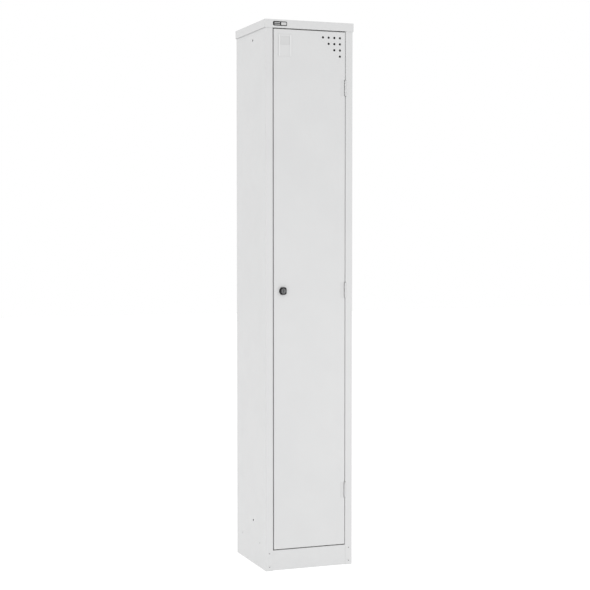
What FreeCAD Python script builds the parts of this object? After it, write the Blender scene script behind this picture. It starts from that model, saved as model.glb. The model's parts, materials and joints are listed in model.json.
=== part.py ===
import FreeCAD, Part
import os
import Sketcher

# Single-door steel locker cabinet, in millimetres.
# X runs across the front (left is negative), Y from front to back, Z up from the floor.
# Every sub-part is drawn with Y = 0 on the front face of the frame and then shifted by FACE_Y,
# so the model's origin is the middle of the whole object's footprint, on the floor.

DIMENSIONS = {
    "body_width": 305,
    "body_depth": 302,
    "overall_height": 1800,
    "gauge": 0.9,
    "bend_radius": 1.2,
    "cap_overhang_side": 3,
    "cap_overhang_front": 1.5,
    "tray_edge_radius": 1.5,
    "apron_depth": 27,
    "flange_width": 25,
    "rebate_depth": 20,
    "rebate_lip": 12,
    "rear_return": 20,
    "base_return": 15,
    "base_return_margin": 5,
    "relief_depth": 25,
    "header_lip": 15,
    "header_web": 22,
    "door_gap": 3,
    "hinge_gap": 1.5,
    "door_depth": 18,
    "door_lip": 12,
    "door_lip_root": 0.63,
    "plinth_height": 67,
    "kick_lower_fold": 15,
    "kick_upper_fold": 40,
    "floor_clearance": 1,
    "floor_height": 92,
    "shelf_height": 1470,
    "shelf_depth": 275,
    "shelf_lip": 20,
    "shelf_setback": 24,
    "shelf_clearance": 0.2,
    "bracket_setback": 48,
    "bracket_length": 227,
    "bracket_leg": 15,
    "rail_radius": 11,
    "rail_wall": 1.2,
    "rail_drop": 65,
    "rail_setback": 160,
    "cup_wall": 1.8,
    "cup_depth": 11,
    "cup_flange": 3.6,
    "cup_flange_thick": 1.8,
    "hinge_spacing": 667,
    "hinge_height": 50,
    "hinge_proud": 0.5,
    "knuckle_radius": 2.5,
    "knuckle_cut": 3.2,
    "leaf_gauge": 1.1,
    "leaf_width": 16.5,
    "pin_radius": 1.45,
    "pin_clearance": 0.05,
    "pin_head_radius": 2.05,
    "pin_head_thick": 0.9,
    "notch_width": 3.5,
    "notch_depth": 3,
    "notch_margin": 1.5,
    "patch_width": 13,
    "patch_depth": 0.3,
    "vent_radius": 3.8,
    "vent_pitch": 20,
    "vent_inset_side": 19,
    "vent_inset_top": 20.5,
    "stiffener_height": 1560,
    "stiffener_web": 40,
    "stiffener_flange": 15,
    "stiffener_depth": 12,
    "card_width": 44,
    "card_height": 70,
    "card_plate": 1,
    "card_inset_side": 16.5,
    "card_inset_top": 17,
    "card_rail": 5,
    "card_rail_proud": 2,
    "card_rail_edge": 0.6,
    "window_width": 32,
    "window_height": 28,
    "window_inset_top": 6,
    "window_depth": 0.7,
    "nameplate_width": 48,
    "nameplate_height": 14,
    "nameplate_thick": 1,
    "nameplate_radius": 4,
    "nameplate_inset": 49,
    "lock_inset": 31,
    "lock_proud": 8,
    "escutcheon_radius": 12.6,
    "escutcheon_base": 2,
    "escutcheon_width": 21.5,
    "escutcheon_height": 24.8,
    "escutcheon_corner": 3.5,
    "escutcheon_proud": 6.5,
    "lock_body_radius": 9,
    "lock_body_rear": 20.6,
    "lock_rim_proud": 6.8,
    "barrel_head_radius": 7.7,
    "barrel_head_depth": 5,
    "barrel_radius": 6,
    "barrel_clearance": 0.05,
    "keyway_width": 1.8,
    "keyway_height": 9,
    "keyway_depth": 4,
    "nut_flats": 24,
    "nut_thick": 4,
    "cam_plane": 21.2,
    "cam_thick": 2,
    "cam_width": 14,
    "cam_reach": 30,
    "cam_end_radius": 6.5,
    "cam_square": 7,
    "screw_head_radius": 5,
    "screw_head_depth": 3,
    "screw_head_edge": 1,
    "screw_radius": 2,
    "screw_length": 8,
    "rivet_head_radius": 3.5,
    "rivet_head_height": 1.2,
    "rivet_head_edge": 0.96,
    "rivet_radius": 1.6,
    "rivet_tail_radius": 2.3,
    "rivet_tail": 2,
    "plinth_rivet_low": 13.25,
    "plinth_rivet_high": 57.5,
    "floor_rivet_height": 82,
    "floor_rivet_front": 61.5,
    "floor_rivet_rear": 240,
    "back_rivet_low": 100,
    "back_rivet_pitch": 320,
    "link_hole_radius": 4,
    "link_hole_depth": 128,
    "link_hole_low": 146,
    "link_hole_spacing": 1600,
    "buffer_radius": 4,
    "buffer_thick": 1.6,
}

# Places worked out from the driving dimensions, as expressions on the sheet.
HALF_WIDTH = "(dims.body_width / 2)"
SIDE_INNER = f"({HALF_WIDTH} - dims.gauge)"
FRAME_EDGE = f"({HALF_WIDTH} - dims.flange_width)"
LIP_TIP = f"({FRAME_EDGE} - dims.rebate_lip)"
LIP_BACK = "(dims.rebate_depth + dims.gauge)"
BEND_OUTER = "(dims.bend_radius + dims.gauge)"
HEADER_BOTTOM = "(dims.overall_height - dims.apron_depth)"
CAP_UNDERSIDE = "(dims.overall_height - dims.gauge)"
BACK_FACE = "(dims.body_depth - 2 * dims.gauge)"
FACE_Y = "(-(dims.body_depth + dims.cap_overhang_front - dims.lock_proud) / 2)"
DOOR_LEFT = f"(dims.door_gap - {FRAME_EDGE})"
DOOR_RIGHT = f"({FRAME_EDGE} - dims.hinge_gap)"
DOOR_BOTTOM = "(dims.plinth_height + dims.door_gap)"
DOOR_TOP = f"({HEADER_BOTTOM} - dims.door_gap)"
DOOR_MIDDLE = f"(({DOOR_BOTTOM} + {DOOR_TOP}) / 2)"
HINGE_X = f"({FRAME_EDGE} + dims.gauge + dims.leaf_gauge - dims.knuckle_radius)"
NOTCH_X = f"({DOOR_RIGHT} - dims.notch_width)"
LOCK_X = f"({DOOR_LEFT} + dims.lock_inset)"
SHELF_UNDERSIDE = "(dims.shelf_height - dims.shelf_lip)"
RAIL_HEIGHT = "(dims.shelf_height - dims.rail_drop)"
PLINTH_RIVET_X = f"({HALF_WIDTH} - dims.flange_width / 2)"
BACK_RIVET_X = f"({HALF_WIDTH} - dims.rear_return / 2)"

HINGE_NAMES = {"lower": -1, "middle": 0, "upper": 1}
KNUCKLES = 5
BACK_RIVETS_PER_SIDE = 6
VENT_ROWS = 4
SIDES = {"left": -1, "right": 1}

doc = FreeCAD.newDocument("locker_cabinet")
sheet = doc.addObject("Spreadsheet::Sheet", "dims")
for row, (alias, number) in enumerate(DIMENSIONS.items(), start=1):
    sheet.set(f"A{row}", alias)
    sheet.set(f"B{row}", str(number))
    sheet.setAlias(f"B{row}", alias)
doc.recompute()

parts = []


def value(expression):
    """The number that an expression on the sheet stands for."""
    return float(sheet.evalExpression(str(expression)))


def place(item, x="0", y="0", z="0"):
    """Puts an object at x, y, z, with y counted from the frame's front face."""
    item.setExpression("Placement.Base.x", str(x))
    item.setExpression("Placement.Base.y", f"{y} + {FACE_Y}")
    item.setExpression("Placement.Base.z", str(z))


def new_body(label, x="0", y="0", z="0"):
    body = doc.addObject("PartDesign::Body", label)
    body.Label = label
    place(body, x, y, z)
    parts.append(body)
    return body


def new_sketch(body, name, plane, offset="0"):
    """An empty sketch on one of the body's origin planes, offset along the plane's normal."""
    sketch = body.newObject("Sketcher::SketchObject", name)
    support = next(item for item in body.Origin.OriginFeatures if item.Role == plane)
    sketch.AttachmentSupport = [(support, "")]
    sketch.MapMode = "FlatFace"
    sketch.setExpression(".AttachmentOffset.Base.z", str(offset))
    return sketch


def bind(sketch, kind, geometry, point, expression):
    """Dimensions a point from the sketch's origin with an expression."""
    constraint = Sketcher.Constraint(kind, -1, 1, geometry, point, value(expression))
    index = sketch.addConstraint(constraint)
    sketch.setExpression(f"Constraints[{index}]", expression)


def add_outline(sketch, corners):
    """A closed outline of straight lines through corners given as pairs of expressions."""
    first = sketch.GeometryCount
    count = len(corners)
    points = [FreeCAD.Vector(value(across), value(up), 0) for across, up in corners]
    for number, point in enumerate(points):
        sketch.addGeometry(Part.LineSegment(point, points[(number + 1) % count]), False)
    for number in range(count):
        following = first + (number + 1) % count
        sketch.addConstraint(Sketcher.Constraint("Coincident", first + number, 2, following, 1))
    for number, (across, up) in enumerate(corners):
        bind(sketch, "DistanceX", first + number, 1, across)
        bind(sketch, "DistanceY", first + number, 1, up)


def add_rectangle(sketch, left, right, low, high):
    add_outline(sketch, [(left, low), (right, low), (right, high), (left, high)])


def add_circle(sketch, across, up, radius):
    centre = FreeCAD.Vector(value(across), value(up), 0)
    normal = FreeCAD.Vector(0, 0, 1)
    number = sketch.addGeometry(Part.Circle(centre, normal, value(radius)), False)
    bind(sketch, "DistanceX", number, 3, across)
    bind(sketch, "DistanceY", number, 3, up)
    index = sketch.addConstraint(Sketcher.Constraint("Radius", number, value(radius)))
    sketch.setExpression(f"Constraints[{index}]", radius)


def add_hexagon(sketch, flats):
    """A hexagon about the origin, with the given distance across its flats."""
    corners = [(f"{flats} / sqrt(3) * cos({60 * turn})", f"{flats} / sqrt(3) * sin({60 * turn})")
               for turn in range(6)]
    add_outline(sketch, corners)


def pad(body, name, sketch, length, reverse=False, both_ways=False):
    feature = body.newObject("PartDesign::Pad", name)
    feature.Profile = sketch
    feature.setExpression("Length", length)
    feature.Reversed = reverse
    feature.Midplane = both_ways
    doc.recompute()
    return feature


def pocket(body, name, sketch, length, reverse=False, both_ways=False):
    """Cuts the sketch out of the body, and stops if nothing was cut."""
    before = body.Shape.Volume
    feature = body.newObject("PartDesign::Pocket", name)
    feature.Profile = sketch
    feature.setExpression("Length", length)
    feature.Reversed = reverse
    feature.Midplane = both_ways
    doc.recompute()
    if body.Shape.Volume > before - 1e-6:
        raise RuntimeError(f"{body.Label}: {name} cut nothing")
    return feature


def round_edges(body, name, base, radius, wanted):
    """Fillets the edges of base whose middle passes the test wanted(point)."""
    picked = [f"Edge{number}" for number, edge in enumerate(base.Shape.Edges, start=1)
              if wanted(edge.CenterOfMass)]
    if not picked:
        raise RuntimeError(f"{body.Label}: {name} found no edge")
    feature = body.newObject("PartDesign::Fillet", name)
    feature.Base = (base, picked)
    feature.setExpression("Radius", radius)
    doc.recompute()
    return feature


def near(first, second):
    return abs(first - second) < 1e-5


def fold(body, name, base, corners, radius):
    """Rounds the folds that run up the Z axis through corners given as x, y expressions."""
    spots = [(value(across), value(deep)) for across, deep in corners]
    return round_edges(body, name, base, radius,
                       lambda point: any(near(point.x, x) and near(point.y, y) for x, y in spots))


def hollow(body, name, base, level):
    """Turns a solid block into a tray of sheet, open on its underside at the given height."""
    height = value(level)
    faces = [f"Face{number}" for number, face in enumerate(base.Shape.Faces, start=1)
             if near(face.CenterOfMass.z, height)]
    feature = body.newObject("PartDesign::Thickness", name)
    feature.Base = (base, faces)
    feature.setExpression("Value", "dims.gauge")
    feature.Reversed = True
    doc.recompute()
    return feature


def down_tray(label, half_width, front, back, low, high):
    """A sheet whose four edges are folded down from high to low."""
    body = new_body(label)
    outline = new_sketch(body, label + "_outline", "XY_Plane", low)
    add_rectangle(outline, f"-{half_width}", half_width, front, back)
    block = pad(body, label + "_block", outline, f"{high} - {low}")
    bottom = value(low)
    rounded = round_edges(body, label + "_folds", block, "dims.tray_edge_radius",
                          lambda point: not near(point.z, bottom))
    hollow(body, label + "_sheet", rounded, low)
    return body


def hinge_base(name):
    """Height of a hinge's lower end."""
    return f"({DOOR_MIDDLE} + {HINGE_NAMES[name]} * dims.hinge_spacing - dims.hinge_height / 2)"


def back_rivet_heights():
    return [f"(dims.back_rivet_low + {number} * dims.back_rivet_pitch)"
            for number in range(BACK_RIVETS_PER_SIDE)]


PLINTH_RIVET_HEIGHTS = ["dims.plinth_rivet_low", "dims.plinth_rivet_high"]
FLOOR_RIVET_DEPTHS = ["dims.floor_rivet_front", "dims.floor_rivet_rear"]


# Cabinet shell

def side_panel(name):
    """One sheet: front return lip, return, front flange, side, rear return and base return."""
    side = SIDES[name]
    label = name + "_side_panel"
    body = new_body(label)

    section = new_sketch(body, label + "_section", "XY_Plane")
    path = [
        (LIP_TIP, "dims.rebate_depth"),
        (FRAME_EDGE, "dims.rebate_depth"),
        (FRAME_EDGE, "0"),
        (HALF_WIDTH, "0"),
        (HALF_WIDTH, "dims.body_depth"),
        (f"{HALF_WIDTH} - dims.rear_return", "dims.body_depth"),
        (f"{HALF_WIDTH} - dims.rear_return", "dims.body_depth - dims.gauge"),
        (SIDE_INNER, "dims.body_depth - dims.gauge"),
        (SIDE_INNER, "dims.gauge"),
        (f"{FRAME_EDGE} + dims.gauge", "dims.gauge"),
        (f"{FRAME_EDGE} + dims.gauge", LIP_BACK),
        (LIP_TIP, LIP_BACK),
    ]
    corners = [(f"{side} * ({across})", deep) for across, deep in path]
    add_outline(section, corners)
    skin = pad(body, label + "_skin", section, CAP_UNDERSIDE)

    outside = [corners[number] for number in (2, 3, 4, 10)]
    inside = [corners[number] for number in (1, 7, 8, 9)]
    bends = fold(body, label + "_outer_bends", skin, outside, BEND_OUTER)
    fold(body, label + "_inner_bends", bends, inside, "dims.bend_radius")

    foot = new_sketch(body, label + "_foot", "XY_Plane")
    foot_sides = sorted([f"{side} * ({HALF_WIDTH} - dims.base_return)",
                         f"{side} * ({HALF_WIDTH} - dims.gauge / 2)"], key=value)
    add_rectangle(foot, *foot_sides, "dims.base_return_margin",
                  "dims.body_depth - dims.base_return_margin")
    pad(body, label + "_base_return", foot, "dims.gauge")

    relief = new_sketch(body, label + "_relief", "XY_Plane")
    relief_sides = sorted(["0", f"{side} * ({FRAME_EDGE} + {BEND_OUTER})"], key=value)
    add_rectangle(relief, *relief_sides, "-dims.gauge", "dims.relief_depth")
    pocket(body, label + "_plinth_relief", relief, "dims.plinth_height", reverse=True)

    holes = new_sketch(body, label + "_side_holes", "YZ_Plane")
    for deep in FLOOR_RIVET_DEPTHS:
        add_circle(holes, deep, "dims.floor_rivet_height", "dims.rivet_radius")
    for step in (0, 1):
        add_circle(holes, "dims.link_hole_depth",
                   f"dims.link_hole_low + {step} * dims.link_hole_spacing", "dims.link_hole_radius")
    pocket(body, label + "_side_holes_cut", holes, f"{HALF_WIDTH} + dims.gauge", reverse=side > 0)

    front = new_sketch(body, label + "_flange_holes", "XZ_Plane")
    for height in PLINTH_RIVET_HEIGHTS:
        add_circle(front, f"{side} * {PLINTH_RIVET_X}", height, "dims.rivet_radius")
    pocket(body, label + "_flange_holes_cut", front, "2 * dims.gauge")

    rear = new_sketch(body, label + "_rear_holes", "XZ_Plane", f"-{BACK_FACE}")
    for height in back_rivet_heights():
        add_circle(rear, f"{side} * {BACK_RIVET_X}", height, "dims.rivet_radius")
    pocket(body, label + "_rear_holes_cut", rear, "3 * dims.gauge")
    return body


def cut_hinge_notches(body):
    """Clears the right-hand frame edge around each hinge's knuckles."""
    notches = new_sketch(body, body.Label + "_hinge_notches", "XZ_Plane")
    for name in HINGE_NAMES:
        low = f"{hinge_base(name)} - dims.notch_margin"
        high = f"{hinge_base(name)} + dims.hinge_height + dims.notch_margin"
        add_rectangle(notches, f"{FRAME_EDGE} - dims.gauge",
                      f"{HINGE_X} + dims.knuckle_radius + dims.leaf_gauge / 2", low, high)
    pocket(body, body.Label + "_hinge_notches_cut", notches, "dims.notch_depth")


def top_cap():
    down_tray("top_cap", f"({HALF_WIDTH} + dims.cap_overhang_side)", "-dims.cap_overhang_front",
              "dims.body_depth + dims.cap_overhang_front", HEADER_BOTTOM, "dims.overall_height")


def header_rail():
    """Cross rail behind the cap's apron: web, underside and the stop lip above the door."""
    body = new_body("header_rail")
    web_top = f"{HEADER_BOTTOM} + dims.header_web"
    plate_top = f"{HEADER_BOTTOM} + dims.gauge"
    section = new_sketch(body, "header_section", "YZ_Plane")
    add_outline(section, [
        ("0", HEADER_BOTTOM),
        (LIP_BACK, HEADER_BOTTOM),
        (LIP_BACK, plate_top),
        ("dims.gauge", plate_top),
        ("dims.gauge", web_top),
        ("0", web_top),
    ])
    pad(body, "header_plate", section, f"2 * {FRAME_EDGE}", both_ways=True)
    lip = new_sketch(body, "header_lip_section", "YZ_Plane")
    add_rectangle(lip, "dims.rebate_depth", LIP_BACK,
                  f"{HEADER_BOTTOM} - dims.header_lip", f"{HEADER_BOTTOM} + dims.gauge / 2")
    pad(body, "header_lip", lip, f"2 * {LIP_TIP}", both_ways=True)


def back_panel():
    body = new_body("back_panel")
    half = f"({SIDE_INNER} - dims.bend_radius)"
    outline = new_sketch(body, "back_outline", "XZ_Plane", f"-{BACK_FACE}")
    add_rectangle(outline, f"-{half}", half, "dims.floor_clearance", CAP_UNDERSIDE)
    pad(body, "back_sheet", outline, "dims.gauge", reverse=True)
    holes = new_sketch(body, "back_holes", "XZ_Plane", f"-{BACK_FACE}")
    for side in SIDES.values():
        for height in back_rivet_heights():
            add_circle(holes, f"{side} * {BACK_RIVET_X}", height, "dims.rivet_radius")
    pocket(body, "back_holes_cut", holes, "2 * dims.gauge")


def floor_pan():
    body = down_tray("floor_pan", SIDE_INNER, LIP_BACK, BACK_FACE,
                     "dims.plinth_height", "dims.floor_height")
    holes = new_sketch(body, "floor_pan_holes", "YZ_Plane")
    for deep in FLOOR_RIVET_DEPTHS:
        add_circle(holes, deep, "dims.floor_rivet_height", "dims.rivet_radius")
    pocket(body, "floor_pan_holes_cut", holes, "dims.body_width", both_ways=True)


def kick_plate():
    """Channel behind the two front flanges, closing the front below the door."""
    body = new_body("kick_plate")
    top = "dims.plinth_height"
    low = "dims.floor_clearance"
    section = new_sketch(body, "kick_section", "YZ_Plane")
    add_outline(section, [
        ("dims.gauge", low),
        ("dims.kick_lower_fold", low),
        ("dims.kick_lower_fold", f"{low} + dims.gauge"),
        ("2 * dims.gauge", f"{low} + dims.gauge"),
        ("2 * dims.gauge", f"{top} - dims.gauge"),
        ("dims.kick_upper_fold", f"{top} - dims.gauge"),
        ("dims.kick_upper_fold", top),
        ("dims.gauge", top),
    ])
    pad(body, "kick_channel", section, f"2 * ({SIDE_INNER} - {BEND_OUTER})", both_ways=True)
    holes = new_sketch(body, "kick_holes", "XZ_Plane")
    for side in SIDES.values():
        for height in PLINTH_RIVET_HEIGHTS:
            add_circle(holes, f"{side} * {PLINTH_RIVET_X}", height, "dims.rivet_radius")
    pocket(body, "kick_holes_cut", holes, "3 * dims.gauge")


# Inside fittings

def hat_shelf():
    down_tray("hat_shelf", f"({SIDE_INNER} - dims.shelf_clearance)", "dims.shelf_setback",
              "(dims.shelf_setback + dims.shelf_depth)", SHELF_UNDERSIDE, "dims.shelf_height")


def shelf_bracket(name):
    """Angle along a side panel that the shelf's edge rests on."""
    side = SIDES[name]
    body = new_body(name + "_shelf_bracket")
    section = new_sketch(body, name + "_bracket_section", "XZ_Plane", "-dims.bracket_setback")
    path = [
        (SIDE_INNER, f"{SHELF_UNDERSIDE} - dims.shelf_lip"),
        (SIDE_INNER, SHELF_UNDERSIDE),
        (f"{SIDE_INNER} - dims.bracket_leg", SHELF_UNDERSIDE),
        (f"{SIDE_INNER} - dims.bracket_leg", f"{SHELF_UNDERSIDE} - dims.gauge"),
        (f"{SIDE_INNER} - dims.gauge", f"{SHELF_UNDERSIDE} - dims.gauge"),
        (f"{SIDE_INNER} - dims.gauge", f"{SHELF_UNDERSIDE} - dims.shelf_lip"),
    ]
    add_outline(section, [(f"{side} * ({across})", up) for across, up in path])
    pad(body, name + "_bracket_angle", section,
        "dims.bracket_length", reverse=True)


def rail_cup(name):
    """Flanged cup on a side panel that holds one end of the coat rail."""
    side = SIDES[name]
    body = new_body(name + "_rail_cup", y="dims.rail_setback", z=RAIL_HEIGHT)
    wall = f"{side} * {SIDE_INNER}"
    flange = new_sketch(body, name + "_cup_flange_outline", "YZ_Plane", wall)
    add_circle(flange, "0", "0", "dims.rail_radius + dims.cup_wall + dims.cup_flange")
    pad(body, name + "_cup_flange", flange, "dims.cup_flange_thick", reverse=side > 0)
    boss = new_sketch(body, name + "_cup_outline", "YZ_Plane", wall)
    add_circle(boss, "0", "0", "dims.rail_radius + dims.cup_wall")
    pad(body, name + "_cup_wall", boss, "dims.cup_depth", reverse=side > 0)
    seat = new_sketch(body, name + "_cup_seat_outline", "YZ_Plane",
                      f"{side} * ({SIDE_INNER} - dims.cup_flange_thick)")
    add_circle(seat, "0", "0", "dims.rail_radius")
    pocket(body, name + "_cup_seat", seat, "dims.cup_depth", reverse=side < 0)


def coat_rail():
    body = new_body("coat_rail", y="dims.rail_setback", z=RAIL_HEIGHT)
    section = new_sketch(body, "rail_section", "YZ_Plane")
    add_circle(section, "0", "0", "dims.rail_radius")
    add_circle(section, "0", "0", "dims.rail_radius - dims.rail_wall")
    pad(body, "rail_tube", section, f"2 * ({SIDE_INNER} - dims.cup_flange_thick)", both_ways=True)


# Hinges, each five knuckles on one pin; drawn with the pin's axis on the body's Z axis

def hinge_leaf(name, owner):
    """The frame's leaf has knuckles 0, 2 and 4, the door's leaf has knuckles 1 and 3.

    Each leaf lies on the inner face of its own sheet's edge fold.
    """
    side = 1 if owner == "frame" else -1
    sheet_face = f"({FRAME_EDGE} + dims.gauge)" if owner == "frame" else f"({DOOR_RIGHT} - dims.gauge)"
    bore = "dims.pin_radius" if owner == "frame" else "(dims.pin_radius + dims.pin_clearance)"
    label = f"{name}_hinge_{owner}_leaf"
    body = new_body(label, HINGE_X, "-dims.hinge_proud", hinge_base(name))

    barrel = new_sketch(body, label + "_barrel_outline", "XY_Plane")
    add_circle(barrel, "0", "0", "dims.knuckle_radius")
    pad(body, label + "_barrel", barrel, "dims.hinge_height")
    plate = new_sketch(body, label + "_plate_outline", "XY_Plane")
    plate_sides = sorted([f"{sheet_face} - {HINGE_X}",
                          f"{sheet_face} - {HINGE_X} + {side} * dims.leaf_gauge"], key=value)
    add_rectangle(plate, *plate_sides, "0", "dims.leaf_width")
    pad(body, label + "_plate", plate, "dims.hinge_height")

    hole = new_sketch(body, label + "_bore_outline", "XY_Plane")
    add_circle(hole, "0", "0", bore)
    pocket(body, label + "_bore", hole, "dims.hinge_height", reverse=True)

    gaps = new_sketch(body, label + "_gap_outlines", "XZ_Plane", "dims.knuckle_cut")
    pitch = f"dims.hinge_height / {KNUCKLES}"
    margin = "0" if owner == "frame" else "2 * dims.pin_clearance"
    for knuckle in range(1 if owner == "frame" else 0, KNUCKLES, 2):
        add_rectangle(gaps, "-dims.knuckle_cut", "dims.knuckle_cut",
                      f"{knuckle} * {pitch} - {margin}", f"{knuckle + 1} * {pitch} + {margin}")
    pocket(body, label + "_gaps", gaps, "2 * dims.knuckle_cut")


def hinge_pin(name):
    label = name + "_hinge_pin"
    body = new_body(label, HINGE_X, "-dims.hinge_proud", hinge_base(name))
    shank = new_sketch(body, label + "_outline", "XY_Plane", "-dims.pin_head_thick")
    add_circle(shank, "0", "0", "dims.pin_radius")
    pad(body, label + "_shank", shank, "dims.hinge_height + 2 * dims.pin_head_thick")
    for end, offset in (("lower", "-dims.pin_head_thick"), ("upper", "dims.hinge_height")):
        head = new_sketch(body, f"{label}_{end}_head_outline", "XY_Plane", offset)
        add_circle(head, "0", "0", "dims.pin_head_radius")
        pad(body, f"{label}_{end}_head", head, "dims.pin_head_thick")


# Door

def door_panel():
    """Pressed tray with its edges folded in, vent holes, a lock hole and hinge notches."""
    body = new_body("door_panel")
    outline = new_sketch(body, "door_outline", "XZ_Plane")
    add_rectangle(outline, DOOR_LEFT, DOOR_RIGHT, DOOR_BOTTOM, DOOR_TOP)
    block = pad(body, "door_block", outline, "dims.door_depth", reverse=True)
    rear = value("dims.door_depth")
    round_edges(body, "door_folds", block, BEND_OUTER, lambda point: not near(point.y, rear))

    inside = new_sketch(body, "door_inside_outline", "XZ_Plane", "-dims.door_depth")
    add_rectangle(inside, f"{DOOR_LEFT} + dims.gauge", f"{DOOR_RIGHT} - dims.gauge",
                  f"{DOOR_BOTTOM} + dims.gauge", f"{DOOR_TOP} - dims.gauge")
    tray = pocket(body, "door_tray", inside, "dims.door_depth - dims.gauge", reverse=True)
    skin = value("dims.gauge")
    sides = [value(f"{DOOR_LEFT} + dims.gauge"), value(f"{DOOR_RIGHT} - dims.gauge")]
    mid_depth = value("(dims.door_depth + dims.gauge) / 2")
    round_edges(body, "door_inner_folds", tray, "dims.bend_radius",
                lambda point: near(point.y, skin)
                or (near(point.y, mid_depth) and any(near(point.x, side) for side in sides)))

    lip = new_sketch(body, "door_lip_outline", "XZ_Plane", "dims.gauge - dims.door_depth")
    for inset in ("dims.door_lip_root", "dims.door_lip"):
        add_rectangle(lip, f"{DOOR_LEFT} + {inset}", f"{DOOR_RIGHT} - {inset}",
                      f"{DOOR_BOTTOM} + {inset}", f"{DOOR_TOP} - {inset}")
    pad(body, "door_lip", lip, "dims.gauge", reverse=True)

    holes = new_sketch(body, "door_holes", "XZ_Plane")
    for line in range(VENT_ROWS):
        for column in range(VENT_ROWS - line):
            add_circle(holes, f"{DOOR_RIGHT} - dims.vent_inset_side - {column} * dims.vent_pitch",
                       f"{DOOR_TOP} - dims.vent_inset_top - {line} * dims.vent_pitch",
                       "dims.vent_radius")
    add_circle(holes, LOCK_X, DOOR_MIDDLE, "dims.lock_body_radius")
    pocket(body, "door_holes_cut", holes, "2 * dims.gauge")

    notches = new_sketch(body, "door_hinge_notches", "XZ_Plane")
    patches = new_sketch(body, "door_hinge_patches", "XZ_Plane")
    for name in HINGE_NAMES:
        low = f"{hinge_base(name)} - dims.notch_margin"
        high = f"{hinge_base(name)} + dims.hinge_height + dims.notch_margin"
        add_rectangle(notches, NOTCH_X, f"{DOOR_RIGHT} + dims.gauge", low, high)
        add_rectangle(patches, f"{NOTCH_X} - dims.patch_width", NOTCH_X, low, high)
    pocket(body, "door_hinge_notches_cut", notches, "dims.notch_depth")
    pocket(body, "door_hinge_patches_cut", patches, "dims.patch_depth")


def door_stiffener():
    """Upright channel inside the door, with a flange down each side against the skin."""
    base = f"{DOOR_MIDDLE} - dims.stiffener_height / 2"
    body = new_body("door_stiffener", z=base)
    half = "(dims.stiffener_web / 2)"
    wide = f"({half} + dims.stiffener_flange)"
    deep = "dims.gauge + dims.stiffener_depth"
    section = new_sketch(body, "stiffener_section", "XY_Plane")
    add_outline(section, [
        (f"-{wide}", "dims.gauge"),
        (f"-{half} + dims.gauge", "dims.gauge"),
        (f"-{half} + dims.gauge", f"{deep} - dims.gauge"),
        (f"{half} - dims.gauge", f"{deep} - dims.gauge"),
        (f"{half} - dims.gauge", "dims.gauge"),
        (wide, "dims.gauge"),
        (wide, "2 * dims.gauge"),
        (half, "2 * dims.gauge"),
        (half, deep),
        (f"-{half}", deep),
        (f"-{half}", "2 * dims.gauge"),
        (f"-{wide}", "2 * dims.gauge"),
    ])
    pad(body, "stiffener_channel", section, "dims.stiffener_height")


def card_holder():
    """Label plate with a shallow window above a plain panel, between two raised side rails."""
    centre = f"({DOOR_LEFT} + dims.card_inset_side + dims.card_width / 2)"
    base = f"({DOOR_TOP} - dims.card_inset_top - dims.card_height)"
    body = new_body("card_holder", x=centre, z=base)
    half = "(dims.card_width / 2)"
    plate = new_sketch(body, "card_plate_outline", "XZ_Plane")
    add_rectangle(plate, f"-{half}", half, "0", "dims.card_height")
    pad(body, "card_plate", plate, "dims.card_plate")
    rails = new_sketch(body, "card_rail_outlines", "XZ_Plane")
    add_rectangle(rails, f"-{half}", f"dims.card_rail - {half}", "0", "dims.card_height")
    add_rectangle(rails, f"{half} - dims.card_rail", half, "0", "dims.card_height")
    raised = pad(body, "card_rails", rails, "dims.card_rail_proud")
    front = value("-dims.card_rail_proud")
    round_edges(body, "card_rail_edges", raised, "dims.card_rail_edge",
                lambda point: near(point.y, front))
    window = new_sketch(body, "card_window_outline", "XZ_Plane", "dims.card_rail_proud")
    window_top = "dims.card_height - dims.window_inset_top"
    add_rectangle(window, "-dims.window_width / 2", "dims.window_width / 2",
                  f"{window_top} - dims.window_height", window_top)
    pocket(body, "card_window", window,
           "dims.card_rail_proud - dims.card_plate + dims.window_depth")


def nameplate():
    """Blank plate on the cap's apron."""
    body = new_body("nameplate", x=f"dims.nameplate_inset - {HALF_WIDTH}",
                    y="-dims.cap_overhang_front",
                    z="dims.overall_height - dims.apron_depth / 2")
    outline = new_sketch(body, "nameplate_outline", "XZ_Plane")
    add_rectangle(outline, "-dims.nameplate_width / 2", "dims.nameplate_width / 2",
                  "-dims.nameplate_height / 2", "dims.nameplate_height / 2")
    block = pad(body, "nameplate_block", outline, "dims.nameplate_thick")
    middle = value("-dims.nameplate_thick / 2")
    round_edges(body, "nameplate_corners", block, "dims.nameplate_radius",
                lambda point: near(point.y, middle))


# Lock, drawn with its axis on the body's Y axis

def lock_piece(label, depth="0"):
    return new_body(label, x=LOCK_X, y=depth, z=DOOR_MIDDLE)


def lock_escutcheon():
    body = lock_piece("lock_escutcheon")
    block = new_sketch(body, "escutcheon_block_outline", "XZ_Plane")
    add_rectangle(block, "-dims.escutcheon_width / 2", "dims.escutcheon_width / 2",
                  "-dims.escutcheon_height / 2", "dims.escutcheon_height / 2")
    raised = pad(body, "escutcheon_block", block, "dims.escutcheon_proud")
    side = value("dims.escutcheon_width / 2")
    top = value("dims.escutcheon_height / 2")
    round_edges(body, "escutcheon_corners", raised, "dims.escutcheon_corner",
                lambda point: near(abs(point.x), side) and near(abs(point.z), top))
    base = new_sketch(body, "escutcheon_base_outline", "XZ_Plane")
    add_circle(base, "0", "0", "dims.escutcheon_radius")
    pad(body, "escutcheon_base", base, "dims.escutcheon_base")
    bore = new_sketch(body, "escutcheon_bore_outline", "XZ_Plane", "dims.lock_proud")
    add_circle(bore, "0", "0", "dims.lock_body_radius")
    pocket(body, "escutcheon_bore", bore, "2 * dims.lock_proud")


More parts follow.
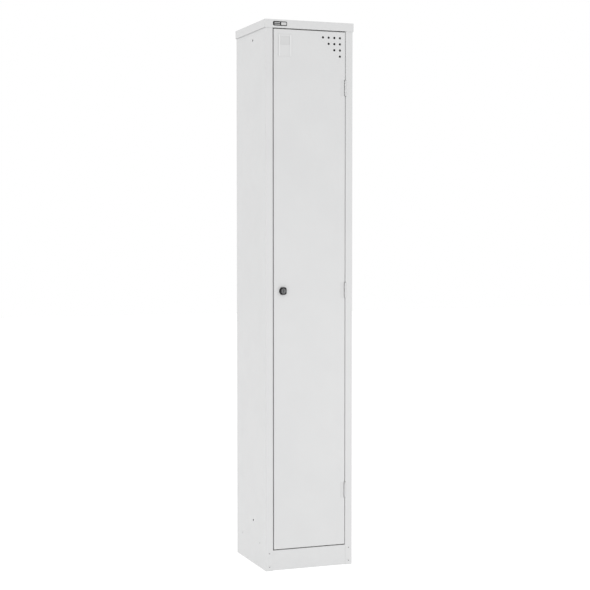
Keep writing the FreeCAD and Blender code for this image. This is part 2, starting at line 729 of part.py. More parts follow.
def lock_body():
    body = lock_piece("lock_body")
    outline = new_sketch(body, "lock_body_outline", "XZ_Plane", "dims.lock_rim_proud")
    add_circle(outline, "0", "0", "dims.lock_body_radius")
    pad(body, "lock_body_cylinder", outline, "dims.lock_rim_proud + dims.lock_body_rear",
        reverse=True)
    seat = new_sketch(body, "lock_head_seat_outline", "XZ_Plane", "dims.lock_rim_proud")
    add_circle(seat, "0", "0", "dims.barrel_head_radius + dims.barrel_clearance")
    pocket(body, "lock_head_seat", seat,
           "dims.lock_rim_proud - dims.lock_proud + dims.barrel_head_depth + dims.barrel_clearance")
    bore = new_sketch(body, "lock_bore_outline", "XZ_Plane", "dims.lock_rim_proud")
    add_circle(bore, "0", "0", "dims.barrel_radius + dims.barrel_clearance")
    pocket(body, "lock_bore", bore, "dims.lock_rim_proud + dims.lock_body_rear")


def lock_nut():
    body = lock_piece("lock_nut", "dims.gauge")
    outline = new_sketch(body, "nut_outline", "XZ_Plane")
    add_hexagon(outline, "dims.nut_flats")
    add_circle(outline, "0", "0", "dims.lock_body_radius")
    pad(body, "nut_block", outline, "dims.nut_thick", reverse=True)


def lock_barrel():
    """Turning plug: head with a keyway, shaft, and a square end that drives the cam."""
    body = lock_piece("lock_barrel")
    head = new_sketch(body, "barrel_head_outline", "XZ_Plane", "dims.lock_proud")
    add_circle(head, "0", "0", "dims.barrel_head_radius")
    pad(body, "barrel_head", head, "dims.barrel_head_depth", reverse=True)
    shaft = new_sketch(body, "barrel_shaft_outline", "XZ_Plane", "dims.lock_proud")
    add_circle(shaft, "0", "0", "dims.barrel_radius")
    pad(body, "barrel_shaft", shaft, "dims.lock_proud + dims.cam_plane", reverse=True)
    square = new_sketch(body, "barrel_square_outline", "XZ_Plane", "-dims.cam_plane")
    half = "(dims.cam_square / 2)"
    add_rectangle(square, f"-{half}", half, f"-{half}", half)
    pad(body, "barrel_square", square, "dims.cam_thick", reverse=True)
    keyway = new_sketch(body, "keyway_outline", "XZ_Plane", "dims.lock_proud")
    add_rectangle(keyway, "-dims.keyway_width / 2", "dims.keyway_width / 2",
                  "-dims.keyway_height / 2", "dims.keyway_height / 2")
    pocket(body, "keyway", keyway, "dims.keyway_depth")
    tapped = new_sketch(body, "barrel_screw_outline", "XZ_Plane",
                        "-dims.cam_plane - dims.cam_thick")
    add_circle(tapped, "0", "0", "dims.screw_radius")
    pocket(body, "barrel_screw_hole", tapped, "dims.screw_length", reverse=True)


def lock_cam():
    """Flat arm that hangs down when unlocked and turns behind the frame's lip when locked."""
    body = lock_piece("lock_cam", "dims.cam_plane")
    outline = new_sketch(body, "cam_outline", "XZ_Plane")
    half = "(dims.cam_width / 2)"
    add_rectangle(outline, f"-{half}", half, "-dims.cam_reach", half)
    block = pad(body, "cam_block", outline, "dims.cam_thick", reverse=True)
    middle = value("dims.cam_thick / 2")
    round_edges(body, "cam_ends", block, "dims.cam_end_radius",
                lambda point: near(point.y, middle))
    hole = new_sketch(body, "cam_hole_outline", "XZ_Plane")
    square = "(dims.cam_square / 2)"
    add_rectangle(hole, f"-{square}", square, f"-{square}", square)
    pocket(body, "cam_hole", hole, "dims.cam_thick")


def cam_screw():
    body = lock_piece("cam_screw", "dims.cam_plane + dims.cam_thick")
    shank = new_sketch(body, "screw_shank_outline", "XZ_Plane", "dims.screw_length")
    add_circle(shank, "0", "0", "dims.screw_radius")
    pad(body, "screw_shank", shank, "dims.screw_length", reverse=True)
    head = new_sketch(body, "screw_head_outline", "XZ_Plane")
    add_circle(head, "0", "0", "dims.screw_head_radius")
    top = pad(body, "screw_head", head, "dims.screw_head_depth", reverse=True)
    rear = value("dims.screw_head_depth")
    round_edges(body, "screw_head_edge", top, "dims.screw_head_edge",
                lambda point: near(point.y, rear))


# Groups of identical small pieces, each a compound of separate solids

def rivet_shape():
    """Domed blind rivet with its head on Z = 0 and its shank through two sheets below."""
    height = value("dims.rivet_head_height")
    grip = 2 * value("dims.gauge")
    tail = value("dims.rivet_tail")
    disc = Part.makeCylinder(value("dims.rivet_head_radius"), height)
    rim = max(disc.Edges, key=lambda edge: edge.CenterOfMass.z)
    head = disc.makeFillet(value("dims.rivet_head_edge"), [rim])
    shank = Part.makeCylinder(value("dims.rivet_radius"), grip, FreeCAD.Vector(0, 0, -grip))
    bulge = Part.makeCylinder(value("dims.rivet_tail_radius"), tail,
                              FreeCAD.Vector(0, 0, -grip - tail))
    return head.fuse([shank, bulge]).removeSplitter()


def buffer_shape():
    return Part.makeCylinder(value("dims.buffer_radius"), value("dims.buffer_thick"))


def group(label, shape, spots):
    """Copies shape to each spot, given as x, y, z expressions and the way its top faces."""
    solids = []
    for across, deep, up, outward in spots:
        copy = shape.copy()
        spot = FreeCAD.Vector(value(across), value(deep), value(up))
        turn = FreeCAD.Rotation(FreeCAD.Vector(0, 0, 1), FreeCAD.Vector(*outward))
        copy.Placement = FreeCAD.Placement(spot, turn)
        solids.append(copy)
    item = doc.addObject("Part::Feature", label)
    item.Label = label
    item.Shape = Part.makeCompound(solids)
    item.Placement = FreeCAD.Placement()
    place(item)
    parts.append(item)


def fasteners():
    sides = SIDES.values()
    group("plinth_rivets", rivet_shape(), [
        (f"{side} * {PLINTH_RIVET_X}", "0", height, (0, -1, 0))
        for side in sides for height in PLINTH_RIVET_HEIGHTS])
    group("floor_pan_rivets", rivet_shape(), [
        (f"{side} * {HALF_WIDTH}", deep, "dims.floor_rivet_height", (side, 0, 0))
        for side in sides for deep in FLOOR_RIVET_DEPTHS])
    group("back_panel_rivets", rivet_shape(), [
        (f"{side} * {BACK_RIVET_X}", "dims.body_depth", height, (0, 1, 0))
        for side in sides for height in back_rivet_heights()])
    group("door_buffers", buffer_shape(), [
        (f"-({LIP_TIP} + dims.rebate_lip / 2)", "dims.rebate_depth",
         f"{DOOR_MIDDLE} + {step} * dims.hinge_spacing", (0, -1, 0))
        for step in HINGE_NAMES.values()])


def check_and_export():
    """Stops on a failed feature or a bad shape, then writes one STEP file per sub-part."""
    doc.recompute()
    for item in doc.Objects:
        if "Invalid" in item.State or "Error" in item.State:
            raise RuntimeError(f"{item.Label} failed: {item.State}")
    os.makedirs("parts", exist_ok=True)
    for part in parts:
        if part.Shape.isNull() or not part.Shape.isValid():
            raise RuntimeError(f"{part.Label} has no valid shape")
    for part in parts:
        part.Shape.exportStep(f"parts/{part.Label}.step")
        box = part.Shape.BoundBox
        print(f"{part.Label}: {len(part.Shape.Solids)} solid(s), {part.Shape.Volume:.1f} mm3, "
              f"{box.XLength:.1f} x {box.YLength:.1f} x {box.ZLength:.1f}")


side_panel("left")
cut_hinge_notches(side_panel("right"))
back_panel()
top_cap()
header_rail()
floor_pan()
kick_plate()
hat_shelf()
coat_rail()
for side_name in SIDES:
    shelf_bracket(side_name)
    rail_cup(side_name)
for hinge_name in HINGE_NAMES:
    hinge_leaf(hinge_name, "frame")
    hinge_leaf(hinge_name, "door")
    hinge_pin(hinge_name)
door_panel()
door_stiffener()
card_holder()
nameplate()
lock_escutcheon()
lock_body()
lock_nut()
lock_barrel()
lock_cam()
cam_screw()
fasteners()
check_and_export()
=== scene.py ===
import json
import math

import bmesh
import bpy
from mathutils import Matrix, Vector


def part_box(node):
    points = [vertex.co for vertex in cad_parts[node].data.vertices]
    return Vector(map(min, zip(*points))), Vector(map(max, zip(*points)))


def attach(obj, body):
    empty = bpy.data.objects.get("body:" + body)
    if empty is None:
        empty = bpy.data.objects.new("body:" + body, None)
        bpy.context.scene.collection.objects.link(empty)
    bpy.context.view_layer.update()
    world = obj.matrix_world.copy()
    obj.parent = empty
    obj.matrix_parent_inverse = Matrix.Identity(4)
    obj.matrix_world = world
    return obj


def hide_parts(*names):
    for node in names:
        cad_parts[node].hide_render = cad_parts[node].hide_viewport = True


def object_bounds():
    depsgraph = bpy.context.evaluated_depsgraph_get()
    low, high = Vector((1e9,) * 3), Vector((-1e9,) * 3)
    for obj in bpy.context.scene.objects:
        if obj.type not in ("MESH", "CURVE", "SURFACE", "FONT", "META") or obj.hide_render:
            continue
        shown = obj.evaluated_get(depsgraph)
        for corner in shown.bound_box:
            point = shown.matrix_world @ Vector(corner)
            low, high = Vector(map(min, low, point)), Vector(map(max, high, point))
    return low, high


# Looks of a single-door steel locker cabinet. All lengths are in metres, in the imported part's frame:
# X runs across the front, Y from front to back and Z up from the floor.
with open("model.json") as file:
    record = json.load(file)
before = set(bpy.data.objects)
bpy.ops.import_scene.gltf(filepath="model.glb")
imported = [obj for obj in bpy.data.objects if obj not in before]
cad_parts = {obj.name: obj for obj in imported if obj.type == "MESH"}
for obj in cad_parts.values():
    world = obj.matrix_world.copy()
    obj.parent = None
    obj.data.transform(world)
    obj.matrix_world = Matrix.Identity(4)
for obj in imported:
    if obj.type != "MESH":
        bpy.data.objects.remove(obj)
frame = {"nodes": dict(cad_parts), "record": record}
cad_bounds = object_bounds()
scene = bpy.context.scene

MM = 0.001

# Mesh work: points closer than this are one, flatter bends are merged, sharper edges are rounded
WELD_DISTANCE = 0.001 * MM
FLAT_ANGLE = math.radians(0.5)
SHARP_ANGLE = math.radians(38)
ROUND_STEPS = 48
CORNER_STEPS = 8

# Radius of a rounded edge: of cut sheet, and where it differs
SHEET_EDGE = 0.2 * MM
HOLDER_EDGE = 0.25 * MM
EDGE_RADII = {
    "lock_body": 0.45 * MM,
    "lock_barrel": 0.35 * MM,
    "lock_nut": 0.3 * MM,
    "left_rail_cup": 0.5 * MM,
    "right_rail_cup": 0.5 * MM,
}

# Colours, and how much lighter the paint is as a painted highlight on the holder's rails, and how much
# duller as painted shade in its window and on the door's pressed patches
PAINT = (0.648, 0.650, 0.651, 1)
PAINT_SHADE = (0.636, 0.638, 0.640, 1)
# Lighter paint on rounded edges: thinner film there, and a painted highlight
PAINT_THIN_HIGHLIGHT = (0.71, 0.71, 0.70, 1)
RAIL_HIGHLIGHT_LIFT = 1.10
WINDOW_SHADE_LIFT = 0.94
PATCH_SHADE_LIFT = 0.955
BLACK = (0.009, 0.009, 0.010, 1)

# Spot welds on the door's stiffener
WELD_PITCH = 120 * MM
WELD_INSET = 7.5 * MM
WELD_RADIUS = 3 * MM

# Lock surround: a block sunk a little into a round base with a bevelled rim
SURROUND_BLOCK = (21.5 * MM, 24.4 * MM)
SURROUND_CORNER = 6.5 * MM
SURROUND_EDGE = 0.9 * MM
SURROUND_SINK = 0.2 * MM
SURROUND_BASE = 2 * MM
SURROUND_RIM = 0.5 * MM
SURROUND_BORE = 9 * MM
BORE_OVERSHOOT = 1 * MM

# Cross recess in the cam's screw
RECESS_LONG = 5.4 * MM
RECESS_WIDE = 1.2 * MM
RECESS_DEPTH = 1.5 * MM

# Rivets and hinge pins, as shares of the head's radius
RIVET_HOLE = 0.38
RIVET_HEAD = 0.34
PIN_SHANK = 0.7
PIN_HEAD = 0.43

# Nameplate. Centres and widths are shares of the plate's width.
NAMEPLATE_CORNER = 4 * MM
NAMEPLATE_BORDER = 2.4 * MM
PRINT_DEPTH = 0.15 * MM
PANEL_CENTRE = 0.765
PANEL_WIDTH = 0.38
PANEL_CORNER = 2.4 * MM
BAR_CENTRE = 0.3
BAR_WIDTH = 0.4
BAR_HEIGHT = 2.0 * MM
BAR_SPREAD = 2.6 * MM
BAR_CORNER = 0.6 * MM

# Depths that tell the holder's rails and window and the door's pressed patches apart
RAIL_STEP = 0.9 * MM
WINDOW_STEP = 0.3 * MM
PATCH_STEP = 0.3 * MM
PATCH_REACH = 24 * MM
DEPTH_ERROR = 0.1 * MM

# Floor and camera, with angles in degrees
FLOOR_REACH = 14.0
FLOOR_GAP = 0.2 * MM
CAMERA_AZIMUTH = -20.55
CAMERA_ELEVATION = 2.497
CAMERA_DISTANCE = 4.761
CAMERA_AIM = Vector((5.1, 2.0, -0.6)) * MM
CAMERA_LENS = 85.66


# Node tools

class Surface:
    """A material with one Principled shader, and short calls for the nodes that feed it."""

    def __init__(self, name, **values):
        self.material = bpy.data.materials.new(name)
        self.material.use_nodes = True
        self.tree = self.material.node_tree
        self.shader = next(node for node in self.tree.nodes if node.type == "BSDF_PRINCIPLED")
        for socket, number in values.items():
            self.shader.inputs[socket.replace("_", " ")].default_value = number
        self.place = self.add("TexCoord").outputs["Object"]

    def add(self, kind, inputs=None, **settings):
        """A new node. Its inputs are given by name or number, as values or as other sockets."""
        node = self.tree.nodes.new("ShaderNode" + kind)
        for setting, value in settings.items():
            setattr(node, setting, value)
        for socket, value in (inputs or {}).items():
            if isinstance(value, bpy.types.NodeSocket):
                self.tree.links.new(value, node.inputs[socket])
            else:
                node.inputs[socket].default_value = value
        return node

    def noise(self, scale, detail, stretch=(1, 1, 1)):
        """Noise from 0 to 1, with scale cells to the metre, stretched along the axes."""
        spread = self.add("Mapping", {"Vector": self.place, "Scale": stretch})
        texture = self.add("TexNoise", {"Vector": spread.outputs["Vector"], "Scale": scale,
                                        "Detail": detail})
        return texture.outputs["Fac"]

    def remap(self, value, start, end, low, high):
        """Takes value from the range start to end to the range low to high, clamped."""
        node = self.add("MapRange", {"Value": value, "From Min": start, "From Max": end,
                                     "To Min": low, "To Max": high})
        return node.outputs["Result"]

    def blend(self, share, first, second):
        """A colour between first and second."""
        node = self.add("Mix", {0: share, 6: first, 7: second}, data_type="RGBA")
        return node.outputs[2]

    def math(self, operation, *values):
        """One value worked out from others."""
        node = self.add("Math", dict(enumerate(values)), operation=operation)
        return node.outputs["Value"]

    def bump(self, height, distance, strength, under=None):
        """Bump of the given height in metres, laid over an earlier bump."""
        inputs = {"Height": height, "Distance": distance, "Strength": strength}
        if under is not None:
            inputs["Normal"] = under
        return self.add("Bump", inputs).outputs["Normal"]

    def attribute(self, name):
        """The number that the mesh holds under this name at each face."""
        return self.add("Attribute", attribute_name=name).outputs["Fac"]

    def finish(self, **links):
        """Links sockets to the shader's inputs, named with _ for spaces."""
        for socket, value in links.items():
            self.tree.links.new(value, self.shader.inputs[socket.replace("_", " ")])
        return self.material


# Materials

def lighter(colour, lift):
    """The colour made lighter, or duller where lift is below 1."""
    return tuple(channel * lift for channel in colour[:3]) + (1,)


def weld_dimples(made):
    """Height of round spot-weld dimples down both flanges of the door's stiffener, 0 or less."""
    low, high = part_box("door_stiffener")
    centre = (low + high) / 2
    axes = made.add("SeparateXYZ", {"Vector": made.place}).outputs
    across = made.math("ABSOLUTE", made.math("SUBTRACT", axes["X"], centre.x))
    across = made.math("SUBTRACT", across, (high.x - low.x) / 2 - WELD_INSET)
    along = made.math("SUBTRACT", axes["Z"], centre.z)
    along = made.math("PINGPONG", made.math("ADD", along, WELD_PITCH / 2), WELD_PITCH / 2)
    squares = made.math("ADD", made.math("MULTIPLY", across, across), made.math("MULTIPLY", along, along))
    return made.remap(made.math("SQRT", squares), 0.7 * WELD_RADIUS, WELD_RADIUS, -1, 0)


def powder_coat(name, lift=1.0, welded=False):
    """Satin polyester powder coat on steel: fine orange peel, faint mottle, thinner film and a painted
    highlight on edges.
    """
    made = Surface(name, Specular_IOR_Level=0.45)
    mottle = made.remap(made.noise(9, 3), 0.35, 0.65, 0, 1)
    edge = made.attribute("edge")
    # Rounded edges turn lighter in patches: thinner film, and a painted highlight
    thin_film_and_highlight = made.math("MULTIPLY", edge, made.remap(made.noise(160, 3), 0.4, 0.65, 0, 0.5))
    colour = made.blend(mottle, lighter(PAINT_SHADE, lift), lighter(PAINT, lift))
    colour = made.blend(thin_film_and_highlight, colour, lighter(PAINT_THIN_HIGHLIGHT, lift))
    smudges = made.remap(made.noise(26, 4), 0.3, 0.7, 0.38, 0.47)
    speckle = made.remap(made.noise(700, 1), 0.3, 0.7, -0.03, 0.03)
    roughness = made.math("ADD", smudges, speckle)
    flatness = made.bump(made.noise(5, 1, (1, 1, 0.5)), 0.5 * MM, 0.6)
    if welded:
        flatness = made.bump(weld_dimples(made), 0.35 * MM, 1.0, under=flatness)
    peel = made.bump(made.noise(620, 2), 0.025 * MM, 0.9, under=flatness)
    grain = made.bump(made.noise(2600, 1), 0.003 * MM, 0.7, under=peel)
    return made.finish(Base_Color=colour, Roughness=roughness, Normal=grain)


def zinc_plate():
    """Bright zinc plate with a faint warm and cool chromate tint."""
    made = Surface("zinc_plate", Metallic=1.0)
    tint = made.remap(made.noise(240, 3), 0.35, 0.65, 0, 1)
    colour = made.blend(tint, (0.59, 0.60, 0.63, 1), (0.64, 0.63, 0.61, 1))
    roughness = made.remap(made.noise(900, 3), 0.3, 0.7, 0.26, 0.42)
    grain = made.bump(made.noise(3200, 2), 0.004 * MM, 0.8)
    return made.finish(Base_Color=colour, Roughness=roughness, Normal=grain)


def chrome_plate():
    """Polished chrome on a drawn tube, with hairlines along it where hangers slide."""
    made = Surface("chrome_plate", Metallic=1.0)
    haze = made.noise(30, 3)
    colour = made.blend(haze, (0.74, 0.75, 0.77, 1), (0.82, 0.82, 0.83, 1))
    hairlines = made.noise(2400, 2, (0.02, 1, 1))
    roughness = made.remap(hairlines, 0.45, 0.75, 0.07, 0.22)
    lines = made.bump(hairlines, 0.002 * MM, 0.6)
    return made.finish(Base_Color=colour, Roughness=roughness, Normal=lines)


def satin_nickel():
    """Dark satin nickel on the lock's metal, turned, so that fine rings run round its axis."""
    low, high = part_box("lock_barrel")
    axis = (low + high) / 2
    made = Surface("satin_nickel", Metallic=1.0)
    shifted = made.add("VectorMath", {0: made.place, 1: (axis.x, 0, axis.z)}, operation="SUBTRACT")
    flat = made.add("VectorMath", {0: shifted.outputs["Vector"], 1: (1, 0, 1)}, operation="MULTIPLY")
    radius = made.add("VectorMath", {0: flat.outputs["Vector"]}, operation="LENGTH").outputs["Value"]
    rings = made.math("SINE", made.math("MULTIPLY", radius, 2 * math.pi / (0.22 * MM)))
    blotch = made.noise(420, 3)
    colour = made.blend(blotch, (0.10, 0.10, 0.105, 1), (0.18, 0.18, 0.18, 1))
    roughness = made.remap(made.noise(1500, 2), 0.3, 0.7, 0.24, 0.38)
    turned = made.bump(rings, 0.003 * MM, 0.5)
    grain = made.bump(blotch, 0.01 * MM, 0.4, under=turned)
    return made.finish(Base_Color=colour, Roughness=roughness, Normal=grain)


def moulded_plastic():
    """Black moulded plastic with a fine spark-eroded texture."""
    made = Surface("moulded_plastic", Specular_IOR_Level=0.15)
    colour = made.blend(made.noise(120, 3), BLACK, (0.018, 0.018, 0.019, 1))
    edge = made.attribute("edge")
    roughness = made.math("SUBTRACT", made.remap(made.noise(800, 3), 0.3, 0.7, 0.38, 0.52),
                          made.math("MULTIPLY", edge, 0.1))
    texture = made.bump(made.noise(4200, 2), 0.012 * MM, 0.8)
    return made.finish(Base_Color=colour, Roughness=roughness, Normal=texture)


def label_film(name, colour, shade):
    """Print under a dull clear film, with faint dust in it."""
    made = Surface(name, Coat_Weight=0.2, Coat_Roughness=0.2, Specular_IOR_Level=0.2)
    dust = made.remap(made.noise(1800, 3), 0.6, 0.75, 0, 1)
    tone = made.blend(dust, colour, shade)
    roughness = made.remap(made.noise(300, 2), 0.3, 0.7, 0.28, 0.4)
    ripple = made.bump(made.noise(200, 1), 0.02 * MM, 0.5)
    return made.finish(Base_Color=tone, Roughness=roughness, Normal=ripple)


def rivet_hole_painted_shade():
    """Dull steel of the pulled mandrel and the walls round it, deep in a blind rivet's head, painted near
    black as the shade in the hole.
    """
    made = Surface("rivet_hole_painted_shade", Metallic=0.6)
    colour = made.blend(made.noise(2200, 3), (0.012, 0.012, 0.012, 1), (0.035, 0.032, 0.03, 1))
    roughness = made.remap(made.noise(3000, 2), 0.3, 0.7, 0.55, 0.8)
    torn = made.bump(made.noise(2600, 3), 0.05 * MM, 0.8)
    return made.finish(Base_Color=colour, Roughness=roughness, Normal=torn)


def soft_rubber():
    """Black rubber with a fine, dry grain."""
    made = Surface("soft_rubber", Specular_IOR_Level=0.3)
    colour = made.blend(made.noise(500, 3), (0.035, 0.035, 0.035, 1), (0.06, 0.06, 0.058, 1))
    roughness = made.remap(made.noise(900, 2), 0.3, 0.7, 0.7, 0.88)
    grain = made.bump(made.noise(2600, 3), 0.02 * MM, 0.7)
    return made.finish(Base_Color=colour, Roughness=roughness, Normal=grain)


def studio_floor():
    """Pale matt floor that glows a little, so that it fades into the white surroundings."""
    made = Surface("studio_floor", Specular_IOR_Level=0.1, Emission_Color=(1, 1, 1, 1),
                   Emission_Strength=0.78)
    colour = made.blend(made.noise(3, 2), (0.36, 0.36, 0.36, 1), (0.38, 0.38, 0.38, 1))
    roughness = made.remap(made.noise(12, 2), 0.3, 0.7, 0.85, 0.95)
    return made.finish(Base_Color=colour, Roughness=roughness)


FINISHES = {
    "powder_coat": powder_coat("powder_coat_paint"),
    "zinc_steel": zinc_plate(),
    "rail_chrome": chrome_plate(),
    "lock_nickel": satin_nickel(),
    "black_plastic": moulded_plastic(),
    "nameplate_print": label_film("label_dark", BLACK, (0.05, 0.05, 0.05, 1)),
    "buffer_rubber": soft_rubber(),
}
# Paint made lighter on the holder's rails: a painted highlight
RAIL_HIGHLIGHT_PAINT = powder_coat("rail_painted_highlight", RAIL_HIGHLIGHT_LIFT)
# Near-black paint inside the rivets' holes: painted shade
RIVET_HOLE_SHADE = rivet_hole_painted_shade()
# Paint made duller at the back of the holder's window: painted shade in the recess
WINDOW_SHADE_PAINT = powder_coat("window_painted_shade", WINDOW_SHADE_LIFT)
# Paint made duller on the door's pressed patches: painted shade
PATCH_SHADE_PAINT = powder_coat("patch_painted_shade", PATCH_SHADE_LIFT)
LABEL_PALE = label_film("label_pale", (0.58, 0.58, 0.58, 1), (0.52, 0.52, 0.52, 1))
WELDED_PAINT = powder_coat("welded_paint", welded=True)


# Mesh tools

def body_of(node):
    """The moving body that a CAD node belongs to."""
    groups = frame["record"]["behaviour"]["bodies"]
    return next(body for body, members in groups.items() if node in members)


def slot_of(node):
    """The material slot that the record gives a CAD node."""
    return next(part["material_slot"] for part in frame["record"]["subparts"] if part["node"] == node)


def new_work():
    """An empty bmesh with the layer in which round_sharp_edges marks its faces."""
    work = bmesh.new()
    work.faces.layers.float.new("edge")
    return work


def merged_copy(node):
    """A CAD node's mesh with its split corners welded and its flat facets merged."""
    work = bmesh.new()
    work.from_mesh(frame["nodes"][node].data)
    bmesh.ops.remove_doubles(work, verts=work.verts, dist=WELD_DISTANCE)
    bmesh.ops.dissolve_limit(work, angle_limit=FLAT_ANGLE, verts=work.verts, edges=work.edges)
    return work


def round_sharp_edges(work, radius, segments=2):
    """Rounds the outer edges sharper than SHARP_ANGLE, and marks the new faces in the edge layer.

    Inner corners stay sharp: filling them would push one piece into its neighbour.
    """
    mark = work.faces.layers.float.new("edge")
    sharp = [edge for edge in work.edges
             if edge.is_manifold and edge.is_convex and edge.calc_face_angle() > SHARP_ANGLE]
    made = bmesh.ops.bevel(work, geom=sharp, offset=radius, offset_type="OFFSET", segments=segments,
                           profile=0.5, affect="EDGES", clamp_overlap=True)
    for face in made["faces"]:
        face[mark] = 1.0


def lathe(work, profile, base, axis):
    """Adds the surface that (radius, height) points sweep around an axis, and returns its faces.

    The heights run from base along the axis. A profile that starts and ends on it is closed.
    """
    turn = Vector((0, 0, 1)).rotation_difference(axis).to_matrix()
    rings = []
    for radius, height in profile:
        count = ROUND_STEPS if radius > WELD_DISTANCE else 1
        angles = [2 * math.pi * step / count for step in range(count)]
        rings.append([work.verts.new(base + turn @ Vector((radius * math.cos(angle),
                                                           radius * math.sin(angle), height)))
                      for angle in angles])
    faces = []
    for lower, upper in zip(rings, rings[1:]):
        for step in range(ROUND_STEPS):
            corners = [lower[step % len(lower)], lower[(step + 1) % len(lower)],
                       upper[(step + 1) % len(upper)], upper[step % len(upper)]]
            # A ring on the axis is a single point, so a corner repeats and the face is a triangle.
            faces.append(work.faces.new(dict.fromkeys(corners)))
    return faces


def slab(work, centre, size, radius, front, back):
    """Adds an upright block with rounded corners, its front at y = front, and returns its faces."""
    half_x = size[0] / 2 - radius
    half_z = size[1] / 2 - radius
    outline = []
    for start, x, z in ((0, 1, 1), (90, -1, 1), (180, -1, -1), (270, 1, -1)):
        for step in range(CORNER_STEPS + 1):
            angle = math.radians(start + 90 * step / CORNER_STEPS)
            outline.append((centre.x + x * half_x + radius * math.cos(angle),
                            centre.z + z * half_z + radius * math.sin(angle)))
    rings = [[work.verts.new((x, y, z)) for x, z in outline] for y in (front, back)]
    faces = [work.faces.new(rings[0]), work.faces.new(reversed(rings[1]))]
    for step in range(len(outline)):
        after = (step + 1) % len(outline)
        faces.append(work.faces.new((rings[0][after], rings[0][step], rings[1][step], rings[1][after])))
    return faces


def carve(work, tool):
    """The solid left when one closed bmesh is cut out of another. Both are used up."""
    pair = []
    for name, solid in (("blank", work), ("tool", tool)):
        mesh = bpy.data.meshes.new(name)
        solid.to_mesh(mesh)
        solid.free()
        pair.append(bpy.data.objects.new(name, mesh))
        scene.collection.objects.link(pair[-1])
    cut = pair[0].modifiers.new("cut", "BOOLEAN")
    cut.operation = "DIFFERENCE"
    cut.solver = "EXACT"
    cut.object = pair[1]
    left = bmesh.new()
    left.from_object(pair[0], bpy.context.evaluated_depsgraph_get())
    for item in pair:
        mesh = item.data
        bpy.data.objects.remove(item)
        bpy.data.meshes.remove(mesh)
    return left


def loose_boxes(node):
    """The low and high corners of each separate solid in a CAD node, always in the same order."""
    work = merged_copy(node)
    seen = set()
    boxes = []
    for start in work.verts:
        if start in seen:
            continue
        seen.add(start)
        solid = [start]
        # The list grows while it is walked.
        for vert in solid:
            fresh = {edge.other_vert(vert) for edge in vert.link_edges} - seen
            seen.update(fresh)
            solid.extend(fresh)
        places = [vert.co for vert in solid]
        boxes.append((Vector([min(place[axis] for place in places) for axis in range(3)]),
                      Vector([max(place[axis] for place in places) for axis in range(3)])))
    work.free()
    return boxes


def add_piece(node, finish, work, materials=None):
    """Turns a bmesh in the part's frame into the piece that replaces a CAD node.

    It is smooth but for its sharp edges. Without other materials it gets the finish of its slot.
    """
    for face in work.faces:
        face.smooth = True
    for edge in work.edges:
        edge.smooth = True
    name = f"{node}_{finish}"
    body = body_of(node)
    slot = slot_of(node)
    mesh = bpy.data.meshes.new(name)
    work.to_mesh(mesh)
    work.free()
    if "custom_normal" in mesh.attributes:
        mesh.attributes.remove(mesh.attributes["custom_normal"])
    mesh.set_sharp_from_angle(angle=SHARP_ANGLE)
    for material in materials or [FINISHES[slot]]:
        mesh.materials.append(material)
    piece = bpy.data.objects.new(name, mesh)
    scene.collection.objects.link(piece)
    even = piece.modifiers.new("even_normals", "WEIGHTED_NORMAL")
    even.weight = 100
    even.keep_sharp = True
    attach(piece, body)
    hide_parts(node)


# Pieces

def refine(node):
    """A copy of the CAD node with its outer edges rounded."""
    work = merged_copy(node)
    round_sharp_edges(work, EDGE_RADII.get(node, SHEET_EDGE))
    add_piece(node, "finished", work)


def blind_rivets(node):
    """Domed blind rivets with an open mandrel hole, heads outwards, where the CAD solids are."""
    work = new_work()
    middle = (cad_bounds[0] + cad_bounds[1]) / 2
    for low, high in loose_boxes(node):
        size = high - low
        centre = (low + high) / 2
        along = min(range(3), key=lambda axis: size[axis])
        outward = Vector([0, 0, 0])
        outward[along] = math.copysign(1, centre[along] - middle[along])
        length = size[along]
        head = max(size) / 2
        hole = RIVET_HOLE * head
        head_base = length - RIVET_HEAD * head
        tail_end = centre - outward * length / 2
        tail = [(0, 0), (0.4 * head, 0), (0.66 * head, 0.14 * length), (0.66 * head, 0.3 * length),
                (0.46 * head, 0.4 * length)]
        dome = [(head, head_base), (head, head_base + 0.08 * head), (0.86 * head, length - 0.13 * head),
                (0.62 * head, length - 0.03 * head), (0.42 * head, length)]
        profile = tail + [(0.46 * head, head_base)] + dome
        bore = [(hole, length - 0.03 * head), (hole, length - 0.26 * head), (0, length - 0.22 * head)]
        lathe(work, profile + bore[:1], tail_end, outward)
        # The hole's walls and the mandrel's end get near-black paint: painted shade deep in the hole.
        for face in lathe(work, bore, tail_end, outward):
            face.material_index = 1
    bmesh.ops.remove_doubles(work, verts=work.verts, dist=WELD_DISTANCE)
    add_piece(node, "turned", work, [FINISHES[slot_of(node)], RIVET_HOLE_SHADE])


def hinge_pin(node):
    """Pin with a domed head at each end."""
    low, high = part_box(node)
    centre = (low + high) / 2
    head = (high.x - low.x) / 2
    length = high.z - low.z
    shank = PIN_SHANK * head
    dome = [(0, 0), (0.45 * head, 0.04 * head), (0.8 * head, 0.16 * head), (head, 0.3 * head),
            (head, PIN_HEAD * head), (shank, PIN_HEAD * head)]
    profile = dome + [(radius, length - height) for radius, height in reversed(dome)]
    work = new_work()
    lathe(work, profile, Vector((centre.x, centre.y, low.z)), Vector((0, 0, 1)))
    add_piece(node, "turned", work)


